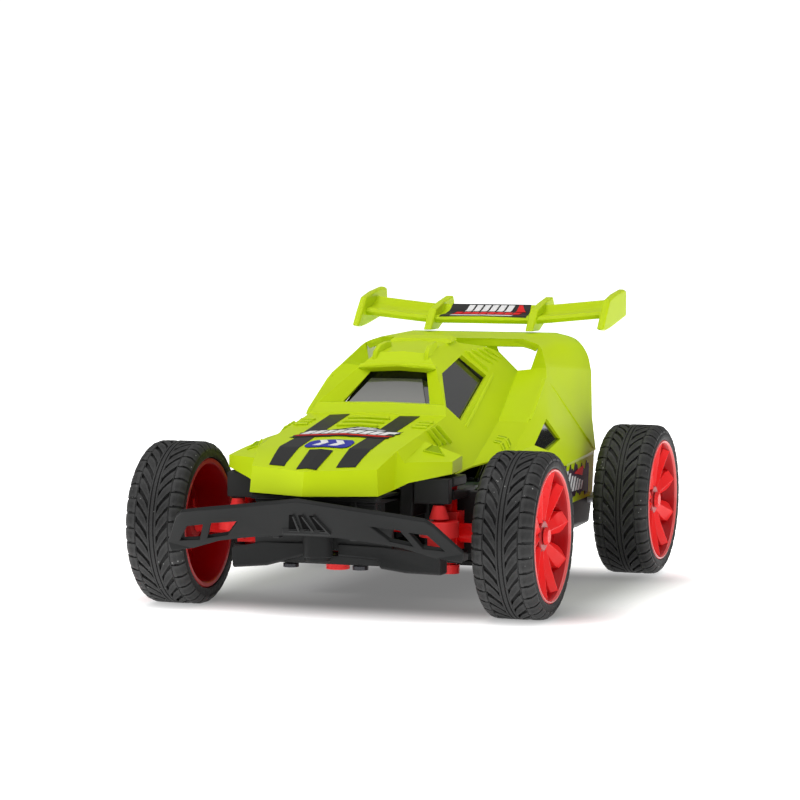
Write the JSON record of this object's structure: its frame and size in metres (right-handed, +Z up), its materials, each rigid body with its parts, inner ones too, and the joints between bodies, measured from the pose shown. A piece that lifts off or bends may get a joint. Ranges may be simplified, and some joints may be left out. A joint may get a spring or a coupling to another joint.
{
  "type": "remote control buggy",
  "caption": "Toy remote control off-road buggy with wedge body, rear wing, front bumper, treaded tyres, steered front wheels and geared rear drive.",
  "frame": {"origin": "on the ground, under the middle of the whole car", "axes": "+X to the car's left, -Y forward towards the bumper, +Z up"},
  "size_m": [0.1424, 0.2258, 0.1039],
  "materials": {
    "lime_plastic": "satin moulded lime green",
    "red_plastic": "glossy moulded red",
    "black_plastic": "fine-textured moulded black",
    "tyre_rubber": "soft matte rubber",
    "smoked_panes": "glossy black windows",
    "plated_steel": "zinc-plated",
    "gear_plastic": "natural nylon",
    "cell_wrap": "printed sleeve",
    "board": "green solder mask",
    "wire_sleeve": "insulated wire",
    "motor_can": "drawn steel can",
    "bush_brass": "sintered bronze bush",
    "slider_plastic": "moulded black"
  },
  "bodies": {
    "chassis": {"aa_cell_1": "cell_wrap", "aa_cell_2": "cell_wrap", "aa_cell_3": "cell_wrap", "aa_cell_4": "cell_wrap", "antenna_wire": "wire_sleeve", "axle_bush_left": "bush_brass", "axle_bush_right": "bush_brass", "battery_contact_front": "plated_steel", "battery_contact_rear": "plated_steel", "body_screw_front_left": "plated_steel", "body_screw_front_right": "plated_steel", "body_screw_rear_left": "plated_steel", "body_screw_rear_right": "plated_steel", "body_shell": "lime_plastic", "chassis_tub": "black_plastic", "circuit_board": "board", "drive_motor": "motor_can", "front_bumper": "black_plastic", "front_deck": "black_plastic", "gearbox_cover": "black_plastic", "pod_window_left": "smoked_panes", "pod_window_right": "smoked_panes", "power_switch_case": "black_plastic", "rear_wing": "lime_plastic", "side_window_left": "smoked_panes", "side_window_right": "smoked_panes", "steering_motor": "motor_can", "windscreen": "smoked_panes"},
    "knuckle_left": {"knuckle_left": "red_plastic", "hub_cap_front_left": "red_plastic"},
    "knuckle_right": {"knuckle_right": "red_plastic", "hub_cap_front_right": "red_plastic"},
    "tie_rod": {"tie_rod": "red_plastic"},
    "steering_gear": {"steering_gear": "gear_plastic"},
    "steering_pinion": {"steering_pinion": "gear_plastic"},
    "front_wheel_left": {"rim_front_left": "red_plastic", "tyre_front_left": "tyre_rubber"},
    "front_wheel_right": {"rim_front_right": "red_plastic", "tyre_front_right": "tyre_rubber"},
    "rear_wheels": {"rear_axle": "plated_steel", "axle_gear": "gear_plastic", "rim_rear_left": "red_plastic", "rim_rear_right": "red_plastic", "tyre_rear_left": "tyre_rubber", "tyre_rear_right": "tyre_rubber", "hub_cap_rear_left": "red_plastic", "hub_cap_rear_right": "red_plastic"},
    "idler": {"idler_gear": "gear_plastic"},
    "motor_pinion": {"motor_pinion": "gear_plastic"},
    "switch_slider": {"power_switch_slider": "slider_plastic"},
    "trim_knob": {"trim_knob": "red_plastic"},
    "battery_door": {"battery_door": "black_plastic", "battery_door_screw": "plated_steel"}
  },
  "joints": [
    {"name": "steer_left", "type": "hinge", "parent": "chassis", "child": "knuckle_left", "pos_m": [0.035, -0.06115, 0.0275], "axis": [0, 0, 1], "range_deg": [-16, 16]},
    {"name": "steer_right", "type": "hinge", "parent": "chassis", "child": "knuckle_right", "pos_m": [-0.035, -0.06115, 0.0275], "axis": [0, 0, 1], "range_deg": [-16, 16]},
    {"name": "tie_rod_travel", "type": "slide", "parent": "chassis", "child": "tie_rod", "axis": [1, 0, 0], "range_m": [-0.0035, 0.0035]},
    {"name": "steering_gear_turn", "type": "hinge", "parent": "chassis", "child": "steering_gear", "pos_m": [0, -0.06115, 0.035], "axis": [0, 0, 1], "range_deg": [-16, 16]},
    {"name": "steering_pinion_turn", "type": "hinge", "parent": "chassis", "child": "steering_pinion", "pos_m": [0, -0.04835, 0.035], "axis": [0, 0, 1], "range_deg": [-48.1, 48.1]},
    {"name": "front_left_spin", "type": "hinge", "parent": "knuckle_left", "child": "front_wheel_left", "pos_m": [0.06, -0.06115, 0.0275], "axis": [1, 0, 0], "continuous": true},
    {"name": "front_right_spin", "type": "hinge", "parent": "knuckle_right", "child": "front_wheel_right", "pos_m": [-0.06, -0.06115, 0.0275], "axis": [1, 0, 0], "continuous": true},
    {"name": "rear_axle_spin", "type": "hinge", "parent": "chassis", "child": "rear_wheels", "pos_m": [0, 0.08405, 0.0275], "axis": [1, 0, 0], "continuous": true},
    {"name": "idler_spin", "type": "hinge", "parent": "chassis", "child": "idler", "pos_m": [-0.01, 0.06905, 0.0275], "axis": [1, 0, 0], "continuous": true},
    {"name": "motor_pinion_spin", "type": "hinge", "parent": "chassis", "child": "motor_pinion", "pos_m": [-0.008, 0.05705, 0.0275], "axis": [1, 0, 0], "continuous": true},
    {"name": "power_switch", "type": "slide", "parent": "chassis", "child": "switch_slider", "axis": [1, 0, 0], "range_m": [0, 0.004]},
    {"name": "steering_trim", "type": "hinge", "parent": "chassis", "child": "trim_knob", "pos_m": [0, -0.07275, 0.0165], "axis": [0, 0, 1], "range_deg": [-60, 60]},
    {"name": "battery_door_release", "type": "slide", "parent": "chassis", "child": "battery_door", "axis": [0, 0, -1], "range_m": [0, 0.012]}
  ],
  "couplings": [
    {"joint": "steer_right", "follows": "steer_left", "ratio": 1},
    {"joint": "tie_rod_travel", "follows": "steer_left", "m_per_rad": 0.0122},
    {"joint": "steering_gear_turn", "follows": "steer_left", "ratio": 1},
    {"joint": "steering_pinion_turn", "follows": "steer_left", "ratio": -3},
    {"joint": "idler_spin", "follows": "rear_axle_spin", "ratio": -4},
    {"joint": "motor_pinion_spin", "follows": "rear_axle_spin", "ratio": 12}
  ]
}
